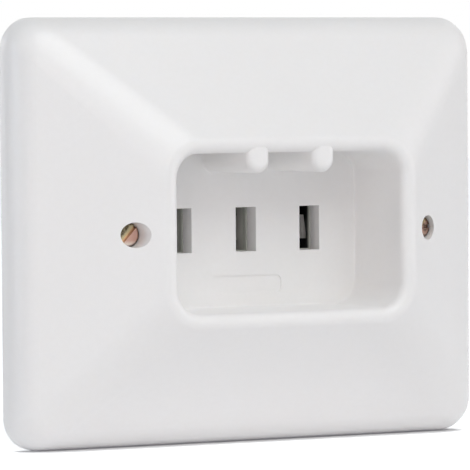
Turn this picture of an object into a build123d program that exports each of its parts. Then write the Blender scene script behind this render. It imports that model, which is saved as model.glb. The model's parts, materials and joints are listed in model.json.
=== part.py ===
"""Flush mounted socket outlet with three flat slots, for a fixed two-pole and earth supply.

The frame of the part: X runs to the right along the plate, Z runs up, and Y runs into the wall.
The wall's surface is the plane Y = 0, so the cover stands in front of it at negative Y, and the
contact block sits behind it, in the wall box. All sizes are in millimetres.
"""

import os
from math import atan2, cos, pi, sin, tan

from build123d import *

# Cover: outline, slopes and shell
cover_width = 120.0
cover_height = 97.0
cover_corner = 7.5
cover_front = 26.7
slope_foot = 7.0
shoulder_radius = 9.7
shoulder_corner = 6.4
shoulder_steps = 5
shell_wall = 2.4

# Recess: the deep pocket that the plug goes into
recess_width = 58.0
recess_height = 35.7
recess_corner = 5.6
recess_wall = 2.0
recess_floor = 4.2
recess_foot_radius = 0.5
floor_back = 0.5
rim_land = 2.95
rim_inner_radius = 2.2
rim_outer_radius = 2.0
rim_flat = 0.05

# Slots for the plug's flat blades, and the keys that hang between them
slot_count = 3
slot_pitch = 16.8
slot_width = 5.3
slot_height = 10.2
key_width = 5.7
key_drop = 4.6
key_corner = 2.8
key_flat = 0.1
key_nose_radius = 1.9
key_setback = 0.2
key_root = 1.6

# Bare name panel, sunk in the recess floor below the slots
panel_width = 18.4
panel_height = 3.9
panel_corner = 1.3
panel_drop = 12.5
panel_sink = 0.3

# Cover screws: M3 cheese heads in counterbored bosses
cover_screw_spacing = 75.8
cover_screw_radius = 1.5
cover_screw_length = 16.0
cheese_head_radius = 2.7
cheese_head_height = 2.0
cheese_head_edge = 0.25
cheese_slot_width = 0.8
cheese_slot_depth = 0.9
screw_tip_chamfer = 0.4
head_face_height = 18.85
counterbore_radius = 2.83
boss_radius = 4.7
left_slot_angle = 47.0
right_slot_angle = 4.0

# Webs behind the cover
web_thickness = 1.6
web_spacing = 40.0
web_clearance = 1.0

# Mounting frame: pressed steel sheet on the wall
frame_side_gap = 11.6
frame_end_gap = 6.1
frame_corner = 6.0
frame_sheet = 1.5
frame_lip = 4.0
frame_bend = 1.0
collar_height = 2.5
collar_wall = 1.4
opening_gap = 0.6
opening_corner = 3.0
box_screw_spacing = 60.0
box_slot_width = 4.2
box_slot_length = 8.0

# Contact base: mineral-filled moulding with three chambers and a flange behind the frame
base_side_wall = 6.2
base_top = 10.0
base_bottom = 20.0
base_depth = 25.0
base_corner = 1.5
base_front_wall = 1.5
base_slot_step = 0.2
cover_gap = 0.2
flange_width = 68.0
flange_height = 54.0
flange_corner = 4.0
flange_thickness = 4.0
chamber_width = 10.0
chamber_height = 13.0
pocket_wall = 1.5
tail_gap = 0.1
wire_entry_radius = 3.2

# Contacts: folded brass strip, with a fixed jaw and a sprung tongue
strip = 1.0
strip_height = 5.5
contact_length = 14.0
jaw_pad_height = 11.2
jaw_pad_length = 3.0
jaw_pad_corner = 0.8
jaw_gap = 0.1
pinch = 1.0
pinch_place = 5.4
tongue_root = 2.0
tongue_setback = 1.7
tongue_slant = 0.9
bend_radius = 0.8
tail_width = 6.0
tail_end = 16.8
tab_end = 17.4

# Jaw springs: steel clips round the contacts
spring_sheet = 0.7
spring_height = 4.6
spring_gap = 0.05
spring_start = 1.2
spring_flare = 0.9

# Terminals: brass pillars, each with a clamp screw
terminal_width = 8.6
terminal_height = 9.0
terminal_drop = 13.0
terminal_edge = 0.4
terminal_front_wall = 1.0
terminal_end_gap = 0.2
wire_bore_radius = 2.6
spigot_radius = 1.5
clamp_screw_radius = 2.0
clamp_screw_length = 6.0
clamp_screw_lift = 0.1
clamp_slot_width = 0.7
clamp_slot_depth = 1.2

# Back plate: closes the chambers and presses on the contacts
plate_thickness = 2.0
post_width = 4.0
post_height = 3.6
post_gap = 0.1
access_hole_gap = 0.6
plate_screw_radius = 1.25
plate_screw_length = 10.0
plate_screw_spare = 1.0

# Pan-head fasteners of the base, the plate and the earth strap
base_screw_from_side = 9.0
base_screw_from_end = 3.2
base_screw_radius = 1.5
base_screw_length = 5.0
insert_radius = 2.4
pan_head_growth = 1.2
pan_head_height = 1.8
pan_head_edge = 0.5
pan_slot_width = 0.8
pan_slot_depth = 0.9

# Earth strap from the centre contact to the frame
strap_width = 6.0
strap_sheet = 1.0
strap_gap = 0.1
strap_bend = 1.0
strap_end = 3.0
earth_screw_from_end = 3.8
earth_screw_length = 7.0
rivet_radius = 1.5
rivet_place = 14.4
rivet_head_radius = 2.3
rivet_head_height = 0.9

# Clearances used throughout
thread_gap = 0.05
fit_gap = 0.02
screw_gap = 0.2

# Sizes and places worked out from those above
rim_width = recess_width + 2 * rim_land
rim_height = recess_height + 2 * rim_land
rim_corner = recess_corner + rim_land
slope_run = (cover_width - rim_width) / 2
slope_angle = atan2(cover_front - slope_foot, slope_run)
steepest_slope = atan2(cover_front - slope_foot, min(slope_run, (cover_height - rim_height) / 2))
rim_outer_room = (rim_land - rim_inner_radius - rim_flat) / tan(steepest_slope / 2)
shoulder_turn = pi / 2 - slope_angle
shoulder_inset = shoulder_radius * (1 - cos(shoulder_turn))
side_height = slope_foot - shoulder_radius * tan(shoulder_turn / 2)
floor_front = floor_back + recess_floor
recess_depth = cover_front - floor_front
tub_width = recess_width + 2 * recess_wall
tub_height = recess_height + 2 * recess_wall
tub_corner = recess_corner + recess_wall
slot_places = [slot_pitch * (i - (slot_count - 1) / 2) for i in range(slot_count)]
key_places = [(a + b) / 2 for a, b in zip(slot_places, slot_places[1:])]
key_corner_room = (key_width - key_flat) / 2
cover_screw_x = cover_screw_spacing / 2
head_seat = head_face_height - cheese_head_height
frame_width = cover_width - 2 * (shell_wall + frame_side_gap)
frame_height = cover_height - 2 * (shell_wall + frame_end_gap)
collar_top = frame_sheet + collar_height
web_back = frame_lip + web_clearance
base_width = (slot_count - 1) * slot_pitch + chamber_width + 2 * base_side_wall
base_front = cover_gap - floor_back
chamber_front = base_front + base_front_wall
jaw_inside = slot_width / 2
jaw_front = chamber_front + jaw_gap
tongue_front = jaw_front + tongue_setback
pinch_y = jaw_front + pinch_place
bridge_back = contact_length + strip
pocket_front = contact_length - tail_gap
wire_y = bridge_back + terminal_front_wall + wire_bore_radius
pillar_back = base_depth - terminal_end_gap
clamp_screw_tip = wire_y + wire_bore_radius + clamp_screw_lift
plate_back = base_depth + plate_thickness
strap_back = flange_thickness + strap_sheet
plate_screw_places = [(x, 0) for x in key_places]
earth_screw_place = flange_height / 2 - earth_screw_from_end
earth_screw_places = [(0, earth_screw_place)]
base_screw_x = flange_width / 2 - base_screw_from_side
base_screw_z = flange_height / 2 - base_screw_from_end
base_screw_places = [(side * base_screw_x, end * base_screw_z) for side in (-1, 1) for end in (-1, 1)]
cover_screw_places = [(-cover_screw_x, 0), (cover_screw_x, 0)]
box_screw_places = [(0, -box_screw_spacing / 2), (0, box_screw_spacing / 2)]
terminal_places = [(x, -terminal_drop) for x in slot_places]


def in_front(height):
    """Plane this far in front of the wall, parallel to it, with its normal towards the room."""
    return Plane.XZ.offset(height)


def behind(depth):
    """Plane this far behind the wall's surface, with its normal towards the room."""
    return Plane.XZ.offset(-depth)


def save(piece, name):
    """Label a finished piece, write it as one STEP file and print its volume."""
    piece.label = name
    export_step(piece, f"parts/{name}.step")
    print(f"{name}: {piece.volume:.1f} mm3")


def slope_height(inset):
    """Height of the outer slope above the wall, this far in from the plate's edge."""
    return slope_foot + inset * tan(slope_angle)


def ridge_corner(inset):
    """Plan radius of the corners over the shoulder, which flows into the widening ridge."""
    growth = (rim_corner - shoulder_corner) / (slope_run - shoulder_inset)
    change = (shoulder_corner - cover_corner) / shoulder_inset
    return cover_corner + (2 * change - growth) * inset + (growth - change) / shoulder_inset * inset**2


def shoulder_point(share, wall):
    """Inset and height on the shoulder's arc at a share of its turn, on a skin this far inside."""
    angle = share * shoulder_turn
    inset = shoulder_radius * (1 - cos(angle)) + wall * cos(angle)
    height = side_height + (shoulder_radius - wall) * sin(angle)
    return inset, height


def cover_outline(inset, wall=0.0):
    """Rounded outline this far in from the plate's edge, on a skin one wall inside the cover."""
    corner = ridge_corner(inset - wall) - wall
    return RectangleRounded(cover_width - 2 * inset, cover_height - 2 * inset, corner)


def build_outer_form():
    """The cover's outside as a solid: straight side, rolled shoulder and four slopes."""
    with BuildPart() as outer_form:
        with BuildSketch(in_front(0)):
            cover_outline(0)
        extrude(amount=side_height)
        for step in range(shoulder_steps + 1):
            inset, height = shoulder_point(step / shoulder_steps, 0)
            with BuildSketch(in_front(height)):
                cover_outline(inset)
        loft()
        with BuildSketch(in_front(slope_height(shoulder_inset))):
            cover_outline(shoulder_inset)
        with BuildSketch(in_front(cover_front)):
            RectangleRounded(rim_width, rim_height, rim_corner)
        loft(ruled=True)
    return outer_form.part


def build_hollow():
    """The space behind the cover, one shell wall inside its outer form."""
    top_inset = (cover_width - tub_width) / 2
    top_height = slope_height(top_inset) - shell_wall / cos(slope_angle)
    with BuildPart() as hollow:
        with BuildSketch(in_front(0)):
            cover_outline(shell_wall, shell_wall)
        for share in (0, 1 / 2, 1):
            inset, height = shoulder_point(share, shell_wall)
            with BuildSketch(in_front(height)):
                cover_outline(inset, shell_wall)
        with BuildSketch(in_front(top_height)):
            RectangleRounded(tub_width, tub_height, tub_corner)
        loft(ruled=True)
        with BuildSketch(in_front(0)):
            RectangleRounded(tub_width, tub_height, tub_corner)
        extrude(amount=top_height, mode=Mode.SUBTRACT)
    return hollow.part


def build_backing(outer_form):
    """Screw bosses and webs behind the slopes, trimmed to the cover's outer form."""
    web_inside = tub_height / 2 - recess_wall / 2
    web_outside = cover_height / 2 - shell_wall
    rib_inside = tub_width / 2 - recess_wall / 2
    rib_outside = cover_width / 2 - shell_wall
    with BuildPart() as backing:
        with BuildSketch(in_front(collar_top)):
            with Locations(*cover_screw_places):
                Circle(boss_radius)
        extrude(amount=cover_front - collar_top)
        with BuildSketch(in_front(web_back)):
            for side in (-1, 1):
                for end in (-1, 1):
                    with Locations((side * web_spacing / 2, end * (web_inside + web_outside) / 2)):
                        Rectangle(web_thickness, web_outside - web_inside)
                with Locations((side * (rib_inside + rib_outside) / 2, 0)):
                    Rectangle(rib_outside - rib_inside, web_thickness)
        extrude(amount=cover_front - web_back)
        add(outer_form, mode=Mode.INTERSECT)
    return backing.part


def build_keys():
    """Two rounded keys under the recess ceiling, which let only the right plug in."""
    bottom = recess_height / 2 - key_drop
    top = recess_height / 2 + key_root
    with BuildPart() as keys:
        with BuildSketch(in_front(floor_front - recess_floor / 2)) as section:
            with Locations(*[(x, (bottom + top) / 2) for x in key_places]):
                Rectangle(key_width, top - bottom)
            fillet(section.vertices().group_by(Axis.Y)[0], radius=min(key_corner, key_corner_room))
        extrude(amount=recess_floor / 2 + recess_depth - key_setback)
        # Each nose is rounded below and at its sides, and flows into the rim above
        noses = keys.faces().group_by(Axis.Y)[0]
        free_edges = noses.edges().filter_by_position(Axis.Z, bottom - fit_gap, top - fit_gap)
        fillet(free_edges, radius=key_nose_radius)
    return keys.part


def build_front_cover():
    """One moulding: four slopes round a deep recess, with keys, slots, bosses and webs."""
    outer_form = build_outer_form()
    hollow = build_hollow()
    backing = build_backing(outer_form)
    keys = build_keys()
    with BuildPart() as front_cover:
        add(outer_form)
        add(hollow, mode=Mode.SUBTRACT)
        add(backing)
        # The tub of the recess ends just in front of the wall's plane
        with BuildSketch(in_front(0)):
            RectangleRounded(tub_width, tub_height, tub_corner)
        extrude(amount=floor_back, mode=Mode.SUBTRACT)
        with BuildSketch(in_front(floor_front)):
            RectangleRounded(recess_width, recess_height, recess_corner)
        extrude(amount=recess_depth, mode=Mode.SUBTRACT)
        # Rolled rim, then the soft foot of the recess
        rim_face = front_cover.faces().sort_by(Axis.Y)[0]
        fillet(rim_face.outer_wire().edges(), radius=min(rim_outer_radius, rim_outer_room))
        rim_face = front_cover.faces().sort_by(Axis.Y)[0]
        fillet(rim_face.inner_wires()[0].edges(), radius=rim_inner_radius)
        add(keys)
        at_floor = front_cover.faces().filter_by_position(
            Axis.Y, -floor_front - fit_gap, -floor_front + fit_gap
        )
        fillet(at_floor[0].outer_wire().edges(), radius=recess_foot_radius)
        # Slots and the bare panel in the recess floor
        with BuildSketch(in_front(floor_back)):
            with Locations(*[(x, 0) for x in slot_places]):
                Rectangle(slot_width, slot_height)
        extrude(amount=recess_floor, mode=Mode.SUBTRACT)
        with BuildSketch(in_front(floor_front)):
            with Locations((0, -panel_drop)):
                RectangleRounded(panel_width, panel_height, panel_corner)
        extrude(amount=-panel_sink, mode=Mode.SUBTRACT)
        # Counterbored screw holes
        with BuildSketch(in_front(head_seat)):
            with Locations(*cover_screw_places):
                Circle(counterbore_radius)
        extrude(amount=cover_front - head_seat, mode=Mode.SUBTRACT)
        with BuildSketch(in_front(collar_top)):
            with Locations(*cover_screw_places):
                Circle(cover_screw_radius + screw_gap)
        extrude(amount=head_seat - collar_top, mode=Mode.SUBTRACT)
    return front_cover.part


def build_cover_screws():
    """Two slotted cheese-head screws, seated in the cover's counterbores."""
    with BuildPart() as cover_screws:
        with BuildSketch(in_front(head_seat)):
            with Locations(*cover_screw_places):
                Circle(cheese_head_radius)
        extrude(amount=cheese_head_height)
        fillet(cover_screws.edges().group_by(Axis.Y)[0], radius=cheese_head_edge)
        with BuildSketch(in_front(head_face_height)):
            for place, angle in zip(cover_screw_places, (left_slot_angle, right_slot_angle)):
                with Locations(place):
                    Rectangle(2 * counterbore_radius, cheese_slot_width, rotation=angle)
        extrude(amount=-cheese_slot_depth, mode=Mode.SUBTRACT)
        with BuildSketch(in_front(head_seat)):
            with Locations(*cover_screw_places):
                Circle(cover_screw_radius)
        extrude(amount=-cover_screw_length)
        chamfer(cover_screws.edges().group_by(Axis.Y)[-1], length=screw_tip_chamfer)
    return cover_screws.part


def build_mounting_frame():
    """Pressed steel frame: lipped edge, central opening, threaded collars and slotted holes."""
    with BuildPart() as mounting_frame:
        with BuildSketch(in_front(0)):
            RectangleRounded(frame_width, frame_height, frame_corner)
        extrude(amount=frame_lip)
        fillet(mounting_frame.faces().sort_by(Axis.Y)[-1].edges(), radius=frame_bend)
        with BuildSketch(in_front(frame_sheet)):
            RectangleRounded(
                frame_width - 2 * frame_sheet, frame_height - 2 * frame_sheet, frame_corner - frame_sheet
            )
        extrude(amount=frame_lip - frame_sheet, mode=Mode.SUBTRACT)
        with BuildSketch(in_front(frame_sheet)):
            with Locations(*cover_screw_places):
                Circle(cover_screw_radius + collar_wall)
        extrude(amount=collar_height)
        with BuildSketch(in_front(0)):
            with Locations(*cover_screw_places):
                Circle(cover_screw_radius + thread_gap)
        extrude(amount=collar_top, mode=Mode.SUBTRACT)
        with BuildSketch(in_front(0)):
            RectangleRounded(tub_width + 2 * opening_gap, tub_height + 2 * opening_gap, opening_corner)
            with Locations(*box_screw_places):
                SlotOverall(box_slot_length, box_slot_width, rotation=90)
            with Locations(*base_screw_places):
                Circle(base_screw_radius + screw_gap)
            with Locations((0, earth_screw_place)):
                Circle(base_screw_radius + thread_gap)
        extrude(amount=frame_sheet, mode=Mode.SUBTRACT)
    return mounting_frame.part


def build_contact_base():
    """Moulded block with a flange, three chambers, terminal pockets and wire entries."""
    body_centre = (0, (base_top - base_bottom) / 2)
    pocket_bottom = -base_bottom + pocket_wall
    notch_bottom = chamber_height / 2
    with BuildPart() as contact_base:
        with BuildSketch(behind(base_depth)):
            with Locations(body_centre):
                RectangleRounded(base_width, base_top + base_bottom, base_corner)
        extrude(amount=base_depth - base_front)
        with BuildSketch(behind(flange_thickness)):
            RectangleRounded(flange_width, flange_height, flange_corner)
        extrude(amount=flange_thickness)
        with BuildSketch(behind(base_depth)):
            with Locations(*[(x, 0) for x in slot_places]):
                Rectangle(chamber_width, chamber_height)
        extrude(amount=base_depth - chamber_front, mode=Mode.SUBTRACT)
        with BuildSketch(behind(chamber_front)):
            with Locations(*[(x, 0) for x in slot_places]):
                Rectangle(slot_width - 2 * base_slot_step, slot_height - 2 * base_slot_step)
        extrude(amount=base_front_wall, mode=Mode.SUBTRACT)
        # Terminal pockets below the chambers, and a notch above the centre one for the earth tab
        with BuildSketch(behind(base_depth)):
            with Locations(*[(x, pocket_bottom / 2) for x in slot_places]):
                Rectangle(chamber_width, -pocket_bottom)
            with Locations((0, (notch_bottom + base_top) / 2)):
                Rectangle(strap_width + 2 * screw_gap, base_top - notch_bottom)
        extrude(amount=base_depth - pocket_front, mode=Mode.SUBTRACT)
        with BuildSketch(Plane.XY.offset(-base_bottom)):
            with Locations(*[(x, wire_y) for x in slot_places]):
                Circle(wire_entry_radius)
        extrude(amount=pocket_wall, mode=Mode.SUBTRACT)
        # Holes for the fasteners
        with BuildSketch(behind(flange_thickness)):
            with Locations(*base_screw_places):
                Circle(insert_radius + fit_gap)
            with Locations((0, earth_screw_place)):
                Circle(base_screw_radius + screw_gap)
        extrude(amount=flange_thickness, mode=Mode.SUBTRACT)
        with BuildSketch(behind(base_depth)):
            with Locations(*plate_screw_places):
                Circle(plate_screw_radius + thread_gap)
        extrude(amount=plate_screw_length - plate_thickness + plate_screw_spare, mode=Mode.SUBTRACT)
    return contact_base.part


def jaw_points(spread, start, tongue_end):
    """Corners of a line round the jaws, this far outside the strip's middle."""
    jaw_x = jaw_inside + strip / 2
    pinch_x = jaw_x - pinch
    bridge_y = contact_length + strip / 2 + spread
    end_x = jaw_x - pinch * (tongue_end - tongue_front) / (pinch_y - tongue_front)
    return [
        (jaw_x + spread, start),
        (jaw_x + spread, bridge_y),
        (-jaw_x - spread, bridge_y),
        (-jaw_x - spread, contact_length - tongue_root),
        (-pinch_x - spread, pinch_y),
        (-end_x - spread, tongue_end),
    ]


def build_contact(has_tab):
    """Contact with its fixed jaw on the right: one folded strip, with a tail for its terminal."""
    with BuildPart() as contact:
        with BuildSketch(Plane.XY.offset(-strip_height / 2)):
            with BuildLine():
                FilletPolyline(*jaw_points(0, jaw_front, tongue_front), radius=bend_radius + strip / 2)
            trace(line_width=strip)
        extrude(amount=strip_height)
        # The free end of the tongue is cut on a slant
        with BuildSketch(Plane.YZ.offset(-jaw_inside - 2 * strip)):
            with BuildLine():
                Polyline(
                    (tongue_front - strip, -strip_height / 2),
                    (tongue_front, -strip_height / 2),
                    (tongue_front + tongue_slant, strip_height / 2),
                    (tongue_front - strip, strip_height / 2),
                    close=True,
                )
            make_face()
        extrude(amount=jaw_inside + strip, mode=Mode.SUBTRACT)
        # Tall pad of the fixed jaw
        with BuildSketch(Plane.YZ.offset(jaw_inside)):
            with Locations((jaw_front + jaw_pad_length / 2, 0)):
                RectangleRounded(jaw_pad_length, jaw_pad_height, jaw_pad_corner)
        extrude(amount=strip)
        # Tail down to the terminal, and the earth contact's tab up to its strap
        with BuildSketch(behind(bridge_back)):
            with Locations((0, -(strip_height / 2 + tail_end) / 2)):
                Rectangle(tail_width, tail_end - strip_height / 2)
            with Locations((0, -terminal_drop)):
                Circle(spigot_radius + fit_gap, mode=Mode.SUBTRACT)
            if has_tab:
                with Locations((0, (strip_height / 2 + tab_end) / 2)):
                    Rectangle(tail_width, tab_end - strip_height / 2)
                with Locations((0, rivet_place)):
                    Circle(rivet_radius + fit_gap, mode=Mode.SUBTRACT)
        extrude(amount=strip)
    return contact.part


def build_jaw_spring():
    """Steel clip that hugs the contact from outside and presses its tongue inwards."""
    spread = strip / 2 + spring_gap + spring_sheet / 2
    start = jaw_front + jaw_pad_length + spring_start
    with BuildPart() as jaw_spring:
        with BuildSketch(Plane.XY.offset(-spring_height / 2)):
            with BuildLine():
                FilletPolyline(
                    *jaw_points(spread, start, pinch_y - spring_flare),
                    radius=bend_radius + strip / 2 + spread,
                )
            trace(line_width=spring_sheet)
        extrude(amount=spring_height)
    return jaw_spring.part


def build_terminal():
    """Brass pillar with a wire bore from below and a tapped hole from behind."""
    with BuildPart() as terminal:
        with BuildSketch(behind(pillar_back)):
            with Locations((0, -terminal_drop)):
                Rectangle(terminal_width, terminal_height)
        extrude(amount=pillar_back - bridge_back)
        chamfer(terminal.edges().filter_by(Axis.Y), length=terminal_edge)
        with BuildSketch(behind(bridge_back)):
            with Locations((0, -terminal_drop)):
                Circle(spigot_radius)
        extrude(amount=strip)
        with BuildSketch(Plane.XY.offset(-terminal_drop - terminal_height / 2)):
            with Locations((0, wire_y)):
                Circle(wire_bore_radius)
        extrude(amount=terminal_height, mode=Mode.SUBTRACT)
        with BuildSketch(behind(pillar_back)):
            with Locations((0, -terminal_drop)):
                Circle(clamp_screw_radius + thread_gap)
        extrude(amount=pillar_back - wire_y, mode=Mode.SUBTRACT)
    return terminal.part


def build_terminal_screws():
    """Three slotted grub screws, backed off so that the wire bores are free."""
    clamp_screw_end = clamp_screw_tip + clamp_screw_length
    with BuildPart() as terminal_screws:
        with BuildSketch(behind(clamp_screw_end)):
            with Locations(*terminal_places):
                Circle(clamp_screw_radius)
        extrude(amount=clamp_screw_length)
        chamfer(terminal_screws.edges().group_by(Axis.Y)[0], length=screw_tip_chamfer)
        with BuildSketch(behind(clamp_screw_end)):
            with Locations(*terminal_places):
                Rectangle(2 * clamp_screw_radius + screw_gap, clamp_slot_width)
        extrude(amount=clamp_slot_depth, mode=Mode.SUBTRACT)
    return terminal_screws.part


def build_back_plate():
    """Plate that closes the chambers, with posts on the springs and holes to the clamp screws."""
    spring_back = bridge_back + spring_gap + spring_sheet
    with BuildPart() as back_plate:
        with BuildSketch(behind(plate_back)):
            with Locations((0, (base_top - base_bottom) / 2)):
                RectangleRounded(base_width, base_top + base_bottom, base_corner)
        extrude(amount=plate_thickness)
        with BuildSketch(behind(plate_back)):
            with Locations(*[(x, 0) for x in slot_places]):
                Rectangle(post_width, post_height)
        extrude(amount=plate_back - spring_back - post_gap)
        with BuildSketch(behind(plate_back)):
            with Locations(*terminal_places):
                Circle(clamp_screw_radius + access_hole_gap)
            with Locations(*plate_screw_places):
                Circle(plate_screw_radius + screw_gap)
        extrude(amount=plate_thickness, mode=Mode.SUBTRACT)
    return back_plate.part


def build_pan_screws(seat, places, radius, length, facing):
    """Slotted pan-head screws on a seat plane; facing is 1 for heads to the room, -1 to the back."""
    head_radius = radius + pan_head_growth
    with BuildPart() as pan_screws:
        with BuildSketch(seat):
            with Locations(*places):
                Circle(head_radius)
        extrude(amount=facing * pan_head_height)
        crowns = pan_screws.faces().group_by(Axis.Y)[0 if facing > 0 else -1]
        chamfer(crowns.edges(), length=pan_head_edge)
        with BuildSketch(seat.offset(facing * pan_head_height)):
            with Locations(*places):
                Rectangle(2 * head_radius + screw_gap, pan_slot_width)
        extrude(amount=-facing * pan_slot_depth, mode=Mode.SUBTRACT)
        with BuildSketch(seat):
            with Locations(*places):
                Circle(radius)
        extrude(amount=-facing * length)
    return pan_screws.part


def build_base_inserts():
    """Threaded brass bushes moulded in the flange of the base."""
    with BuildPart() as base_inserts:
        with BuildSketch(behind(flange_thickness)):
            with Locations(*base_screw_places):
                Circle(insert_radius)
                Circle(base_screw_radius + thread_gap, mode=Mode.SUBTRACT)
        extrude(amount=flange_thickness)
    return base_inserts.part


def build_earth_strap():
    """Strap from the centre contact's tab, along the base, to the mounting frame."""
    tab_y = contact_length - strap_sheet / 2
    run_z = base_top + strap_gap + strap_sheet / 2
    foot_y = flange_thickness + strap_sheet / 2
    with BuildPart() as earth_strap:
        with BuildSketch(Plane.YZ.offset(-strap_width / 2)):
            with BuildLine():
                FilletPolyline(
                    (tab_y, tab_end),
                    (tab_y, run_z),
                    (foot_y, run_z),
                    (foot_y, earth_screw_place + strap_end),
                    radius=strap_bend + strap_sheet / 2,
                )
            trace(line_width=strap_sheet)
        extrude(amount=strap_width)
        with BuildSketch(behind(contact_length)):
            with Locations((0, rivet_place)):
                Circle(rivet_radius + fit_gap)
        extrude(amount=strap_sheet, mode=Mode.SUBTRACT)
        with BuildSketch(behind(strap_back)):
            with Locations((0, earth_screw_place)):
                Circle(base_screw_radius + screw_gap)
        extrude(amount=strap_sheet, mode=Mode.SUBTRACT)
    return earth_strap.part


def build_earth_rivet():
    """Rivet through the strap and the tab, with a head on each side."""
    with BuildPart() as earth_rivet:
        with BuildSketch(behind(bridge_back)):
            with Locations((0, rivet_place)):
                Circle(rivet_radius)
        extrude(amount=strip + strap_sheet)
        for seat, way in ((bridge_back, -1), (contact_length - strap_sheet, 1)):
            with BuildSketch(behind(seat)):
                with Locations((0, rivet_place)):
                    Circle(rivet_head_radius)
            extrude(amount=way * rivet_head_height)
    return earth_rivet.part


os.makedirs("parts", exist_ok=True)

save(build_front_cover(), "front_cover")
save(build_cover_screws(), "cover_screws")
save(build_mounting_frame(), "mounting_frame")
save(build_contact_base(), "contact_base")
save(build_base_inserts(), "base_inserts")
save(
    build_pan_screws(in_front(frame_sheet), base_screw_places, base_screw_radius, base_screw_length, 1),
    "base_screws",
)

# The right contact is the mirror of the left one, as the photograph shows
for place, name, turned in zip(slot_places, ("left", "centre", "right"), (False, False, True)):
    contact = build_contact(has_tab=name == "centre")
    jaw_spring = build_jaw_spring()
    if turned:
        contact = contact.mirror(Plane.YZ)
        jaw_spring = jaw_spring.mirror(Plane.YZ)
    here = Location((place, 0, 0))
    save(contact.moved(here), f"contact_{name}")
    save(jaw_spring.moved(here), f"jaw_spring_{name}")
    save(build_terminal().moved(here), f"terminal_{name}")

save(build_terminal_screws(), "terminal_screws")
save(build_back_plate(), "back_plate")
save(
    build_pan_screws(behind(plate_back), plate_screw_places, plate_screw_radius, plate_screw_length, -1),
    "back_plate_screws",
)
save(build_earth_strap(), "earth_strap")
save(build_earth_rivet(), "earth_rivet")
save(
    build_pan_screws(behind(strap_back), earth_screw_places, base_screw_radius, earth_screw_length, -1),
    "earth_screw",
)
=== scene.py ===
# %% [markdown]
# # A flush mounted socket outlet, dressed for the camera
# The solids come from the CAD model and stay exactly as they are. This lesson gives every
# surface its finish, lights the outlet on a pale studio floor and puts a camera where the
# photographer stood. Everything is in metres: X runs to the right along the plate, Y runs into
# the wall, Z runs up, and the front of the cover looks towards negative Y.

# %% Load the packed part
import json
from math import cos, pi, radians, sin

import bpy
from mathutils import Matrix, Vector


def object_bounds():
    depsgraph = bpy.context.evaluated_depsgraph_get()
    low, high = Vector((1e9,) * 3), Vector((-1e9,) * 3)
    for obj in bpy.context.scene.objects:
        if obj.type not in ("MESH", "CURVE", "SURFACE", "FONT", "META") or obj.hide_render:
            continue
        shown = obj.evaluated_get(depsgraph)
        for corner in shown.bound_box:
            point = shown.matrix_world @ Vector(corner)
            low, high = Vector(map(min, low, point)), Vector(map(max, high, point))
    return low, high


MM = 0.001
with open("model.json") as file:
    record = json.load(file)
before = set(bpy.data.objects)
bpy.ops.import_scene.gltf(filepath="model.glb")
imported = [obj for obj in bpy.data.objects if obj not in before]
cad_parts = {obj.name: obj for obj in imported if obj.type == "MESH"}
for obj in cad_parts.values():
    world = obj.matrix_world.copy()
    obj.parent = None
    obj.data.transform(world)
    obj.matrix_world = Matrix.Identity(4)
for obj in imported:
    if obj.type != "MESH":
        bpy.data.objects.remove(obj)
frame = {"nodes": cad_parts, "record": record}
nodes = frame["nodes"]
cad_box = [[float(value) for value in corner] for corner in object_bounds()]


def in_mm(box):
    return [[round(value / MM, 1) for value in corner] for corner in box]


print("CAD nodes:", len(nodes))
print("CAD box in mm:", in_mm(cad_box))

# %% [markdown]
# ## Words for shader nodes
# A finish on a real thing is never one flat colour, so every material here is a small network of
# shader nodes. It could be drawn by hand in the shader editor, but a script stays readable and
# gives the same result each time. Making a node, feeding its sockets, a little arithmetic and a
# mix of two colours come up everywhere, in the background as well as in the materials, so these
# words work on any tree.

# %% A bench for one node tree
class Bench:
    """Short words for making and joining the nodes of one tree."""

    def __init__(self, tree):
        self.tree = tree

    def node(self, kind, **settings):
        made = self.tree.nodes.new(kind)
        for key, value in settings.items():
            setattr(made, key, value)
        return made

    def wire(self, value, socket):
        """Feed a socket from another node's output, or set it to a plain value."""
        if isinstance(value, bpy.types.NodeSocket):
            self.tree.links.new(value, socket)
        else:
            socket.default_value = value

    def math(self, operation, first, second=0.0):
        made = self.node("ShaderNodeMath", operation=operation)
        self.wire(first, made.inputs[0])
        self.wire(second, made.inputs[1])
        return made.outputs[0]

    def between(self, value, span, result=(0.0, 1.0)):
        """Stretch a value from one span to another, and hold it at the ends."""
        made = self.node("ShaderNodeMapRange")
        for index, number in enumerate((*span, *result), start=1):
            made.inputs[index].default_value = number
        self.wire(value, made.inputs[0])
        return made.outputs[0]

    def blend(self, share, first, second):
        """Mix two colours by a share from 0 to 1."""
        made = self.node("ShaderNodeMix", data_type="RGBA")
        self.wire(share, made.inputs["Factor"])
        for colour, socket in ((first, made.inputs["A"]), (second, made.inputs["B"])):
            self.wire(colour if isinstance(colour, bpy.types.NodeSocket) else (*colour, 1.0), socket)
        return made.outputs["Result"]

    def seen(self):
        """1 for a ray that shows things to the camera, in a mirror or through glass, else 0."""
        ray = self.node("ShaderNodeLightPath").outputs
        shown = self.math("MAXIMUM", ray["Is Camera Ray"], ray["Is Glossy Ray"])
        return self.math("MAXIMUM", shown, ray["Is Transmission Ray"])


print("words for any tree:", [word for word in vars(Bench) if not word.startswith("_")])

# %% [markdown]
# ## A bench for finishes
# Something that varies over the surface, such as noise in the part's own metres, feeds colour,
# roughness and a fine bump. Image textures would need files and seams, while noise in space has
# neither and keeps its real scale on every piece. Noise gathers round a half, so the span that
# is picked from it gives it its character: a wide span makes soft clouds, and a narrow one makes
# patches with an edge.

# %% Words for what varies over a surface
SOFT_CLOUDS = (0.2, 0.8)
LINES = (0.25, 0.75)
CLOUDS = (0.3, 0.7)
BLOTCHES = (0.35, 0.7)


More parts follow.
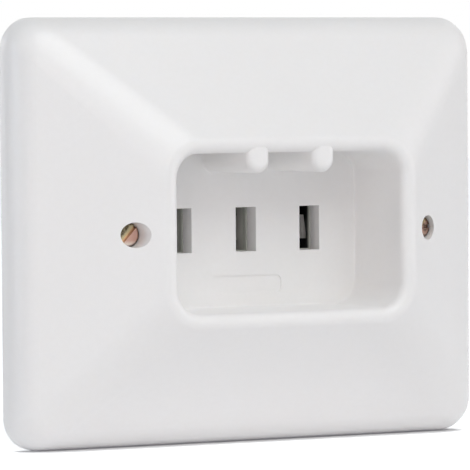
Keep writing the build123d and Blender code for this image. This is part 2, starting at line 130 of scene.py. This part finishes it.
class Finish(Bench):
    """One material: its shader, and short words for what drives it."""

    def __init__(self, name, metallic=0.0, ior=1.5):
        self.material = bpy.data.materials.new(name)
        self.material.use_nodes = True
        super().__init__(self.material.node_tree)
        self.shader = self.tree.nodes["Principled BSDF"]
        self.shader.inputs["Metallic"].default_value = metallic
        self.shader.inputs["IOR"].default_value = ior
        self.place = self.node("ShaderNodeTexCoord").outputs["Object"]

    def axis(self, letter):
        """One coordinate of the place on the part: X, Y or Z."""
        split = self.node("ShaderNodeSeparateXYZ")
        self.wire(self.place, split.inputs[0])
        return split.outputs[letter]

    def stretched(self, x=1.0, y=1.0, z=1.0):
        """The place on the part, squeezed along the axes, so that noise turns into streaks."""
        made = self.node("ShaderNodeMapping")
        made.inputs["Scale"].default_value = (x, y, z)
        self.wire(self.place, made.inputs["Vector"])
        return made.outputs[0]

    def noise(self, size, detail=2.0, rough=0.5, place=None):
        """Noise whose blotches are about this large, in metres."""
        made = self.node("ShaderNodeTexNoise")
        made.inputs["Scale"].default_value = 1.0 / size
        made.inputs["Detail"].default_value = detail
        made.inputs["Roughness"].default_value = rough
        self.wire(place or self.place, made.inputs["Vector"])
        return made.outputs["Fac"]

    def bump(self, height, depth, under=None):
        """Raise the surface by this depth, in metres, where the height is 1."""
        made = self.node("ShaderNodeBump")
        made.inputs["Strength"].default_value = 1.0
        made.inputs["Distance"].default_value = depth
        self.wire(height, made.inputs["Height"])
        if under is not None:
            self.wire(under, made.inputs["Normal"])
        return made.outputs["Normal"]

    def finish(self, colour, roughness, normal):
        self.wire(colour, self.shader.inputs["Base Color"])
        self.wire(roughness, self.shader.inputs["Roughness"])
        self.wire(normal, self.shader.inputs["Normal"])
        print("finish ready:", self.material.name, "with", len(self.tree.nodes), "nodes")
        return self.material


print("words for a finish:", [word for word in vars(Finish) if not word.startswith("_")])

# %% [markdown]
# ## The cover's white plastic
# The real cover is one injection moulding in an off-white, half-glossy thermoplastic. Such a
# surface is never quite flat: the melt leaves broad, faint waves, the polished tool leaves a very
# fine grain, and the colour drifts by a percent or so where the flow was slow. Light also
# travels a little way into the plastic, which softens its edges, so a touch of subsurface
# scattering is set on the shader itself. The gloss varies within a narrow band, since the
# renderer's noise filter leaves an edge wherever a roughness crosses about 0.27.

# %% Cover plastic
MELT_WHITE = (0.928, 0.918, 0.910)
CLEAR_WHITE = (0.940, 0.932, 0.926)
SPECK_WHITE = (0.900, 0.888, 0.878)
COVER_ROUGHNESS = (0.29, 0.34)
SCATTER_SHARE = 0.12
SCATTER_BY_COLOUR = (1.0, 0.9, 0.8)
SCATTER_DEPTH = 1.2 * MM


def moulded_cover_plastic():
    plastic = Finish("cover_plastic", ior=1.49)
    flow = plastic.noise(35 * MM, detail=1.0)
    specks = plastic.noise(1.1 * MM, rough=0.7)
    colour = plastic.blend(plastic.between(flow, SOFT_CLOUDS), MELT_WHITE, CLEAR_WHITE)
    colour = plastic.blend(plastic.between(specks, SOFT_CLOUDS, (0.0, 0.5)), colour, SPECK_WHITE)
    roughness = plastic.between(plastic.noise(20 * MM, detail=1.0), SOFT_CLOUDS, COVER_ROUGHNESS)
    waves = plastic.bump(plastic.noise(18 * MM, detail=1.0), 0.04 * MM)
    grain = plastic.bump(plastic.noise(0.5 * MM, detail=3.0, rough=0.6), 0.006 * MM, waves)
    plastic.shader.inputs["Subsurface Weight"].default_value = SCATTER_SHARE
    plastic.shader.inputs["Subsurface Radius"].default_value = SCATTER_BY_COLOUR
    plastic.shader.inputs["Subsurface Scale"].default_value = SCATTER_DEPTH
    return plastic.finish(colour, roughness, grain)


cover_plastic = moulded_cover_plastic()

# %% [markdown]
# ## Soot in the contact chambers
# The chambers round the contacts are painted darker as shade: the photograph's right slot is
# nearly black inside, the other two only grey. Painting it by hand would need an image, so it is
# laid by place instead. It stays inside the three chambers of the block, thickens with the depth
# behind the wall's face, and begins sooner and blacker on the right.

# %% Where the painted chamber shade lies
def reach(name, axis):
    """How far a CAD piece reaches along X (0), Y (1) or Z (2): its low and its high end."""
    along = [corner[axis] for corner in nodes[name].bound_box]
    return min(along), max(along)


SLOT_PITCH = sum(reach("contact_right", 0)) / 2
CHAMBER_HALF_WIDTH = 5.1 * MM
CHAMBER_HALF_HEIGHT = 6.7 * MM
# The near-black of the painted shade deep in the chambers, and the depths over which it thickens.
HEAVY_SHADE_DEPTH = (-0.1 * MM, 0.7 * MM)
FAINT_SHADE_DEPTH = (3.0 * MM, 9.0 * MM)
FAINT_SHADE_SHARE = (0.0, 0.35)
CHAMBER_SHADE_BLACK = (0.016, 0.024, 0.020)


def painted_chamber_shade(moulding):
    """A share that is 1 where the chambers of the block are painted black as shade."""
    x, y, z = moulding.axis("X"), moulding.axis("Y"), moulding.axis("Z")
    across = moulding.math("ABSOLUTE", x)
    outer = moulding.math("ABSOLUTE", moulding.math("SUBTRACT", across, SLOT_PITCH))
    near_x = moulding.math("LESS_THAN", moulding.math("MINIMUM", across, outer), CHAMBER_HALF_WIDTH)
    near_z = moulding.math("LESS_THAN", moulding.math("ABSOLUTE", z), CHAMBER_HALF_HEIGHT)
    inside = moulding.math("MULTIPLY", near_x, near_z)
    right_chamber = moulding.math("GREATER_THAN", x, SLOT_PITCH / 2)
    heavy = moulding.math("MULTIPLY", moulding.between(y, HEAVY_SHADE_DEPTH), right_chamber)
    faint = moulding.between(y, FAINT_SHADE_DEPTH, FAINT_SHADE_SHARE)
    return moulding.math("MULTIPLY", inside, moulding.math("MAXIMUM", faint, heavy))


print("soot round three slots that stand", round(SLOT_PITCH / MM, 2), "mm apart")

# %% [markdown]
# ## The grey moulding behind
# The contact block carries the live parts, so the real one is a hard, heat-proof moulding with a
# mineral filler. Through the slots it shows as a pale greenish grey, dull, and speckled like
# unpolished stone. The filler shows as small paler grains. They are made with a Voronoi texture,
# whose cells stay apart like grains, where noise would run together into clouds. The block also
# takes the painted chamber shade. The back plate is the same stuff from another batch, a shade
# darker and without the painted chamber shade.

# %% Grey moulding
BASE_DARK = (0.57, 0.59, 0.53)
BASE_LIGHT = (0.63, 0.65, 0.59)
PLATE_DARK = (0.38, 0.385, 0.36)
PLATE_LIGHT = (0.46, 0.465, 0.44)
GRAIN_CORE = (0.05, 0.22)
GRAIN_SHARE = 0.5
GRAIN_PALER = 1.25
MOULDING_ROUGHNESS = (0.42, 0.60)


def filled_moulding(name, dark, light, grain_size, chamber_shaded):
    moulding = Finish(name, ior=1.55)
    colour = moulding.blend(moulding.between(moulding.noise(9 * MM, detail=4.0), CLOUDS), dark, light)
    grains = moulding.node("ShaderNodeTexVoronoi")
    grains.inputs["Scale"].default_value = 1.0 / grain_size
    moulding.wire(moulding.place, grains.inputs["Vector"])
    grain = moulding.between(grains.outputs["Distance"], GRAIN_CORE, (GRAIN_SHARE, 0.0))
    colour = moulding.blend(grain, colour, [GRAIN_PALER * value for value in light])
    # Painted shade darkens the three chambers of the contact block.
    if chamber_shaded:
        colour = moulding.blend(painted_chamber_shade(moulding), colour, CHAMBER_SHADE_BLACK)
    roughness = moulding.between(moulding.noise(3 * MM, detail=5.0), CLOUDS, MOULDING_ROUGHNESS)
    skin = moulding.bump(moulding.noise(0.7 * MM, detail=4.0, rough=0.65), 0.03 * MM)
    return moulding.finish(colour, roughness, skin)


base_plastic = filled_moulding("base_plastic", BASE_DARK, BASE_LIGHT, 1.1 * MM, chamber_shaded=True)
plate_plastic = filled_moulding("plate_plastic", PLATE_DARK, PLATE_LIGHT, 1.3 * MM, chamber_shaded=False)

# %% [markdown]
# ## Zinc-plated steel
# The mounting frame is pressed from sheet and then plated. Rolling leaves long fine lines along
# the sheet, and the plating's passivation drifts between a cool blue and a faint straw colour.
# Noise that is squeezed along one axis gives the lines, and broad noise mixes the two tints. The
# small screws get the same finish without the rolling lines.

# %% Plated sheet and screws
COOL_ZINC = (0.60, 0.63, 0.67)
STRAW_ZINC = (0.69, 0.67, 0.60)
DULL_ZINC = (0.52, 0.53, 0.54)
ROLLING_SQUEEZE = 0.03
TINT_DRIFT = (0.35, 0.65)
DULL_PATCHES = (0.50, 0.75)


def plated_steel(name, roughness_range, rolled):
    steel = Finish(name, metallic=1.0)
    tint = steel.between(steel.noise(22 * MM, detail=3.0), TINT_DRIFT)
    dull = steel.between(steel.noise(2.5 * MM, detail=5.0, rough=0.65), DULL_PATCHES, (0.0, 0.6))
    colour = steel.blend(dull, steel.blend(tint, COOL_ZINC, STRAW_ZINC), DULL_ZINC)
    along_sheet = steel.stretched(x=ROLLING_SQUEEZE if rolled else 1.0)
    lines = steel.noise(0.35 * MM, detail=3.0, place=along_sheet)
    roughness = steel.between(lines, LINES, roughness_range)
    return steel.finish(colour, roughness, steel.bump(lines, 0.008 * MM))


zinc_steel = plated_steel("zinc_steel", (0.28, 0.46), rolled=True)
screw_steel = plated_steel("screw_steel", (0.29, 0.42), rolled=False)

# %% [markdown]
# ## Contacts and their springs
# The contacts are folded from rolled brass strip and then tinned, which is why they show as a
# pale dull grey through the slots: matt tin scatters light much as a paint does, so its metallic
# share is small here. Darker clouds lie over it, with the rolling lines along the strip. The
# clips that press the contacts together are tempered steel, dark and slightly blue. Both are
# strip with the same two marks, clouds and lines, so one recipe makes them.

# %% Contact strip and clips
BRIGHT_TIN = (0.88, 0.88, 0.83)
DULL_TIN = (0.78, 0.77, 0.72)
BRIGHT_SPRING = (0.30, 0.31, 0.33)
DULL_SPRING = (0.16, 0.16, 0.18)


def dulled_strip(name, clean, dulled, metallic, roughness_range):
    strip = Finish(name, metallic=metallic)
    cloud = strip.between(strip.noise(3.5 * MM, detail=5.0, rough=0.6), BLOTCHES, (0.0, 0.6))
    lines = strip.noise(0.3 * MM, detail=3.0, place=strip.stretched(y=0.05, z=0.6))
    roughness = strip.between(lines, LINES, roughness_range)
    return strip.finish(strip.blend(cloud, clean, dulled), roughness, strip.bump(lines, 0.006 * MM))


contact_tin = dulled_strip("contact_brass", BRIGHT_TIN, DULL_TIN, 0.05, (0.45, 0.60))
spring_steel = dulled_strip("spring_steel", BRIGHT_SPRING, DULL_SPRING, 1.0, (0.29, 0.46))

# %% [markdown]
# ## Terminals
# The pillar terminals and the inserts are cut from brass bar and never plated, so they stay
# yellow. The cutter leaves fine lines along them, and handling leaves darker clouds. Streaks of
# squeezed noise give both the bump and the gloss of the lines, so that the two agree.

# %% Terminal brass
BAR_BRASS = (0.76, 0.60, 0.31)
HANDLED_BRASS = (0.55, 0.42, 0.22)
BRASS_ROUGHNESS = (0.29, 0.38)


def cut_terminal_brass():
    bar = Finish("terminal_brass", metallic=1.0)
    cloud = bar.between(bar.noise(5 * MM, detail=4.0), BLOTCHES, (0.0, 0.5))
    cuts = bar.noise(0.25 * MM, place=bar.stretched(x=0.08))
    roughness = bar.between(cuts, SOFT_CLOUDS, BRASS_ROUGHNESS)
    return bar.finish(bar.blend(cloud, BAR_BRASS, HANDLED_BRASS), roughness, bar.bump(cuts, 0.01 * MM))


terminal_brass = cut_terminal_brass()

# %% [markdown]
# ## The film on the two cover screws
# They are the only metal that a visitor sees: slotted cheese heads with a yellow passivated
# finish. Such a film is thin and uneven, so it shimmers: in the photograph one half of each head
# is a dull olive with dark blotches, the other half a salmon pink that turns whitish at the foot,
# and the slot between them is bright gold. The dark brown round the turned edge is painted shade,
# heavier on the salmon half than on the olive one. The right head is more tarnished than the
# left one, in small brown patches. A thin film shader would give rainbow colours of its own, so
# the colours are laid by place instead: each one is ruled by the distance to the slot's own line,
# to the screw's axis or to its height, and runs into the next over an edge that is counted in
# radii of the head.

# %% Colours of the film
HEAD_RADIUS = reach("cover_screws", 2)[1]
SCREW_X = reach("cover_screws", 0)[1] - HEAD_RADIUS
FILM_TURN = radians(47.0)
FILM = {
    "olive": (0.235, 0.200, 0.125),
    "blotch": (0.070, 0.055, 0.035),
    "straw": (0.520, 0.440, 0.270),
    "salmon": (0.640, 0.400, 0.330),
    "whitish": (0.740, 0.630, 0.560),
    "gold": (0.660, 0.520, 0.280),
    # The dark brown is painted shade round the edge of each head.
    "brown": (0.110, 0.060, 0.040),
    "tarnish": (0.150, 0.105, 0.080),
}
EDGE = {
    "straw": (-0.42, -0.26),
    "salmon": (-0.10, 0.16),
    "slot": (0.08, 0.14),
    "foot": (-0.75, -0.45),
    # Where the painted edge shade lies: near the rim, and heavier on the salmon half.
    "rim": (0.80, 0.96),
    "shaded side": (-0.90, 0.30),
}
MOTTLE = (0.42, 0.58)
PATCHES = (0.40, 0.60)
MOSTLY = (0.35, 0.95)
FADING = (1.0, 0.0)


def film_halves(metal, past_slot, height):
    """Olive above the slot, salmon below it, and gold in the slot itself."""
    cloud = metal.noise(1.1 * MM, detail=3.0, rough=0.6)
    sway = metal.between(cloud, (0.0, 1.0), (-0.125, 0.125))
    olive = metal.blend(metal.between(cloud, MOTTLE), FILM["blotch"], FILM["olive"])
    near_slot = metal.between(metal.math("ADD", past_slot, sway), EDGE["straw"])
    olive = metal.blend(near_slot, olive, FILM["straw"])
    foot = metal.between(height, EDGE["foot"], FADING)
    salmon = metal.blend(foot, FILM["salmon"], FILM["whitish"])
    colour = metal.blend(metal.between(past_slot, EDGE["salmon"]), olive, salmon)
    in_slot = metal.between(metal.math("ABSOLUTE", past_slot), EDGE["slot"], FADING)
    return metal.blend(in_slot, colour, FILM["gold"])


def tarnish_and_rim_shade(metal, colour, x, past_slot, radius):
    """Brown patches on the right head only, and painted shade round the edge of both, heavier on one
    half.
    """
    on_right = metal.math("GREATER_THAN", x, 0.0)
    patches = metal.between(metal.noise(0.8 * MM), PATCHES, MOSTLY)
    colour = metal.blend(metal.math("MULTIPLY", on_right, patches), colour, FILM["tarnish"])
    # Painted shade darkens the edge of each head, more on the salmon half than on the olive one.
    rim = metal.between(radius, EDGE["rim"])
    rim_shade = metal.between(past_slot, EDGE["shaded side"], MOSTLY)
    return metal.blend(metal.math("MULTIPLY", rim, rim_shade), colour, FILM["brown"])


print("screws", round(SCREW_X / MM, 2), "mm left and right, film of", ", ".join(FILM))

# %% [markdown]
# ## The metal under the film
# A head is turned on a lathe, which leaves fine rings round its axis. They come from a sine of
# the distance to that axis, so they are round on both heads, where stretched noise would only
# give straight lines. The two screws stand at the same distance left and right of the middle,
# so one formula with the absolute value of X serves both.

# %% Passivated cover screws
RING_PITCH = 0.22 * MM
HEAD_ROUGHNESS = (0.29, 0.42)


def passivated_screw_metal():
    metal = Finish("cover_screw_metal", metallic=1.0)
    x, z = metal.axis("X"), metal.axis("Z")
    from_axis = metal.math("SUBTRACT", metal.math("ABSOLUTE", x), SCREW_X)
    across = metal.math("MULTIPLY", from_axis, metal.math("SIGN", x))
    past_slot = metal.math("SUBTRACT", metal.math("MULTIPLY", across, sin(FILM_TURN) / HEAD_RADIUS),
                           metal.math("MULTIPLY", z, cos(FILM_TURN) / HEAD_RADIUS))
    across_squared = metal.math("MULTIPLY", from_axis, from_axis)
    up_squared = metal.math("MULTIPLY", z, z)
    distance = metal.math("SQRT", metal.math("ADD", across_squared, up_squared))
    radius = metal.math("MULTIPLY", distance, 1.0 / HEAD_RADIUS)
    height = metal.math("MULTIPLY", z, 1.0 / HEAD_RADIUS)
    colour = tarnish_and_rim_shade(metal, film_halves(metal, past_slot, height), x, past_slot, radius)
    rings = metal.math("SINE", metal.math("MULTIPLY", distance, 2 * pi / RING_PITCH))
    roughness = metal.between(metal.noise(0.6 * MM, detail=3.0), CLOUDS, HEAD_ROUGHNESS)
    scuffs = metal.bump(metal.noise(0.5 * MM, detail=4.0), 0.03 * MM)
    return metal.finish(colour, roughness, metal.bump(rings, 0.006 * MM, scuffs))


cover_screw_metal = passivated_screw_metal()

# %% [markdown]
# ## Put the finishes on
# The record says which material slot each solid takes its finish from, so the names there are
# matched with the finishes made above. Each solid keeps its mesh: only the material of its
# object's slot changes.

# %% Dress the solids
finishes = {
    "cover_plastic": cover_plastic,
    "base_plastic": base_plastic,
    "plate_plastic": plate_plastic,
    "zinc_steel": zinc_steel,
    "screw_steel": screw_steel,
    "contact_brass": contact_tin,
    "spring_steel": spring_steel,
    "terminal_brass": terminal_brass,
    "cover_screw_metal": cover_screw_metal,
}


def dress(solid, material):
    if not solid.material_slots:
        solid.data.materials.append(material)
    for slot in solid.material_slots:
        slot.link = "OBJECT"
        slot.material = material


for part in frame["record"]["subparts"]:
    dress(nodes[part["node"]], finishes[part["material_slot"]])
    print(part["node"], "is dressed in", part["material_slot"])

# %% [markdown]
# ## The floor
# The outlet stands on its lower rim on a white studio sweep. A shadow is what seats it there, so
# the floor stays a real surface that keeps the shadow. It glows a little on its own: strongly for
# the rays that show it to the camera or in a mirror, which lifts it to white, and faintly for the
# light that it sends up to the lower slopes. The glow that is seen fades within a few millimetres
# of anything that stands on the floor, which leaves the thin dark line under the rim that the
# photograph has. A wide curved sheet would do the same with more polygons: a flat floor and a
# white world meet without a line, because both reach white.

# %% Studio sweep
FLOOR_Z = cad_box[0][2]
FLOOR_GAP = 0.02 * MM
FLOOR_HALF = 3.0
FLOOR_GREY = (0.86, 0.86, 0.86)
FLOOR_WHITE = (0.90, 0.90, 0.90)
FLOOR_ROUGHNESS = 0.9
GLOW = 0.088
GLOW_TINT = (0.883, 0.899, 1.0)
SEEN_GLOW = 0.75
SEEN_TINT = (0.95, 0.97, 1.0)
SHADE_REACH = 7 * MM
SHADE = (0.40, 0.62)
SHADE_SAMPLES = 12


def studio_floor(height, half):
    mesh = bpy.data.meshes.new("studio_floor")
    corners = [(-half, -half, height), (half, -half, height), (half, half, height), (-half, half, height)]
    mesh.from_pydata(corners, [], [(0, 1, 2, 3)])
    floor = bpy.data.objects.new("studio_floor", mesh)
    bpy.context.scene.collection.objects.link(floor)
    return floor


def floor_paint():
    paint = Finish("floor_paint")
    colour = paint.blend(paint.noise(300 * MM), FLOOR_GREY, FLOOR_WHITE)
    seen = paint.seen()
    open_sky = paint.node("ShaderNodeAmbientOcclusion", samples=SHADE_SAMPLES)
    open_sky.inputs["Distance"].default_value = SHADE_REACH
    shade = paint.between(open_sky.outputs["AO"], SHADE)
    paint.wire(paint.blend(seen, GLOW_TINT, SEEN_TINT), paint.shader.inputs["Emission Color"])
    shown = paint.math("MULTIPLY", seen, paint.math("MULTIPLY", shade, SEEN_GLOW))
    unseen = paint.math("MULTIPLY", paint.math("SUBTRACT", 1.0, seen), GLOW)
    paint.wire(paint.math("ADD", shown, unseen), paint.shader.inputs["Emission Strength"])
    return paint.finish(colour, FLOOR_ROUGHNESS, paint.bump(paint.noise(2 * MM), 0.01 * MM))


floor = studio_floor(FLOOR_Z - FLOOR_GAP, FLOOR_HALF)
dress(floor, floor_paint())
print("floor at", round(FLOOR_Z / MM, 2), "mm")

# %% [markdown]
# ## The room
# The photograph was taken in a bright, even room. A pale world gives the even part of its light,
# from every side at once. The same world is plain white for the rays that are seen, so the
# backdrop stays white and the screws mirror the studio, while the plate and its slots get no more
# than the even part. One world that tells the rays apart does what a white wall would need lamps
# for.

# %% World
WHITE = (1.0, 1.0, 1.0)
ROOM_LIGHT = 0.12
BACKDROP_LIGHT = 1.0


def white_light(bench, background, strength):
    bench.wire((*WHITE, 1.0), background.inputs["Color"])
    bench.wire(strength, background.inputs["Strength"])
    return background.outputs[0]


def pale_world():
    world = bpy.data.worlds.new("pale_studio")
    world.use_nodes = True
    bpy.context.scene.world = world
    bench = Bench(world.node_tree)
    choose = bench.node("ShaderNodeMixShader")
    room = white_light(bench, bench.tree.nodes["Background"], ROOM_LIGHT)
    backdrop = white_light(bench, bench.node("ShaderNodeBackground"), BACKDROP_LIGHT)
    bench.wire(bench.seen(), choose.inputs["Fac"])
    bench.wire(room, choose.inputs[1])
    bench.wire(backdrop, choose.inputs[2])
    bench.wire(choose.outputs[0], bench.tree.nodes["World Output"].inputs["Surface"])
    return world


world = pale_world()
print("world ready:", world.name, "with", len(world.node_tree.nodes), "nodes")

# %% [markdown]
# ## Soft lamps
# The upward slopes are the palest in the photograph, the left and the lower slopes a little
# cooler and greyer, and there is no hard shadow anywhere. One large soft box above the front
# makes the upper slopes pale, a strip close over the plate lifts the top one a bit more, and weak
# lamps left and right part the two side slopes. A window behind the plate's plane reaches only
# the left shoulder. The left slope grows paler towards its foot, which only a small lamp near
# that corner can do. The levels were fitted: the scene was rendered once with each lamp alone,
# and the mix that came nearest to the photograph's own grey levels was kept. The last lamp
# lights the back, which the photograph doesn't show, so that the frame and the contact block can
# be read from behind.

# %% Lamps
PLATE = (0.0, 0.0, 0.0)
LOW_ON_THE_LEFT = (-0.06, 0.0, -0.03)
TOP_SLOPE = (0.0, 0.0, 0.03)


def soft_lamp(name, place, aim, width, height, power, colour):
    lamp = bpy.data.lights.new(name, "AREA")
    lamp.shape = "RECTANGLE"
    lamp.size = width
    lamp.size_y = height
    lamp.energy = power
    lamp.color = colour
    holder = bpy.data.objects.new(name, lamp)
    bpy.context.scene.collection.objects.link(holder)
    holder.location = place
    holder.rotation_euler = (Vector(aim) - Vector(place)).to_track_quat("-Z", "Y").to_euler()
    print(name, "gives", power, "W from", place)


soft_lamp("key_softbox", place=(0.0, -1.1, 1.0), aim=PLATE,
          width=1.2, height=0.8, power=8.62, colour=(0.961, 1.0, 0.997))
soft_lamp("top_strip", place=(0.0, -0.25, 0.55), aim=TOP_SLOPE,
          width=0.5, height=0.25, power=0.592, colour=(0.916, 0.946, 1.0))
soft_lamp("left_window", place=(-1.2, 0.28, 0.12), aim=PLATE,
          width=0.5, height=0.9, power=3.48, colour=(0.795, 0.891, 1.0))
soft_lamp("front_left_fill", place=(-0.8, -1.2, 0.15), aim=PLATE,
          width=0.6, height=0.9, power=3.12, colour=(1.0, 0.890, 0.885))
soft_lamp("low_left_card", place=(-0.30, -0.16, -0.03), aim=LOW_ON_THE_LEFT,
          width=0.12, height=0.08, power=0.0475, colour=(1.0, 0.842, 0.811))
soft_lamp("right_fill", place=(1.2, -0.7, 0.2), aim=PLATE,
          width=0.9, height=0.9, power=3.22, colour=(1.0, 0.905, 0.935))
soft_lamp("back_fill", place=(-0.2, 1.4, 0.12), aim=PLATE,
          width=1.0, height=0.7, power=4.5, colour=WHITE)

# %% [markdown]
# ## The camera
# The view was worked out by fitting a camera to the corners, the slots and the screws in the
# photograph: about 29 degrees round to the object's left, 2 degrees above level, a long lens
# from a metre away, and a roll of half a degree. Fitting beats guessing here, because the slopes
# give away the smallest error in the angle. The focal length is counted in pixels of the
# photograph, and turned into millimetres by the sensor's width.

# %% Camera at the photographer's place
VIEW_ROUND = radians(29.2)
VIEW_UP = radians(1.99)
VIEW_ROLL = radians(-0.443)
DISTANCE = 1.0293
AIM_ACROSS = 0.195 * MM
AIM_UP = 1.44 * MM
PHOTO_WIDTH_PIXELS = 470.0
FOCAL_PIXELS = 4480.0
SENSOR = 36.0
NEAREST = 10 * MM


def photographers_camera():
    back = Vector((-sin(VIEW_ROUND) * cos(VIEW_UP), -cos(VIEW_ROUND) * cos(VIEW_UP), sin(VIEW_UP)))
    right = Vector((cos(VIEW_ROUND), -sin(VIEW_ROUND), 0.0))
    up = back.cross(right)
    side = cos(VIEW_ROLL) * right + sin(VIEW_ROLL) * up
    top = -sin(VIEW_ROLL) * right + cos(VIEW_ROLL) * up
    place = DISTANCE * back - AIM_ACROSS * side - AIM_UP * top
    lens = bpy.data.cameras.new("photographers_camera")
    lens.sensor_width = SENSOR
    lens.lens = SENSOR * FOCAL_PIXELS / PHOTO_WIDTH_PIXELS
    lens.clip_start = NEAREST
    lens.dof.use_dof = False
    camera = bpy.data.objects.new("photographers_camera", lens)
    bpy.context.scene.collection.objects.link(camera)
    camera.matrix_world = Matrix.Translation(place) @ Matrix((side, top, back)).transposed().to_4x4()
    bpy.context.scene.camera = camera
    return camera


camera = photographers_camera()
bpy.context.scene.view_settings.view_transform = "Standard"
print("camera at", [round(value, 3) for value in camera.matrix_world.translation], "m")
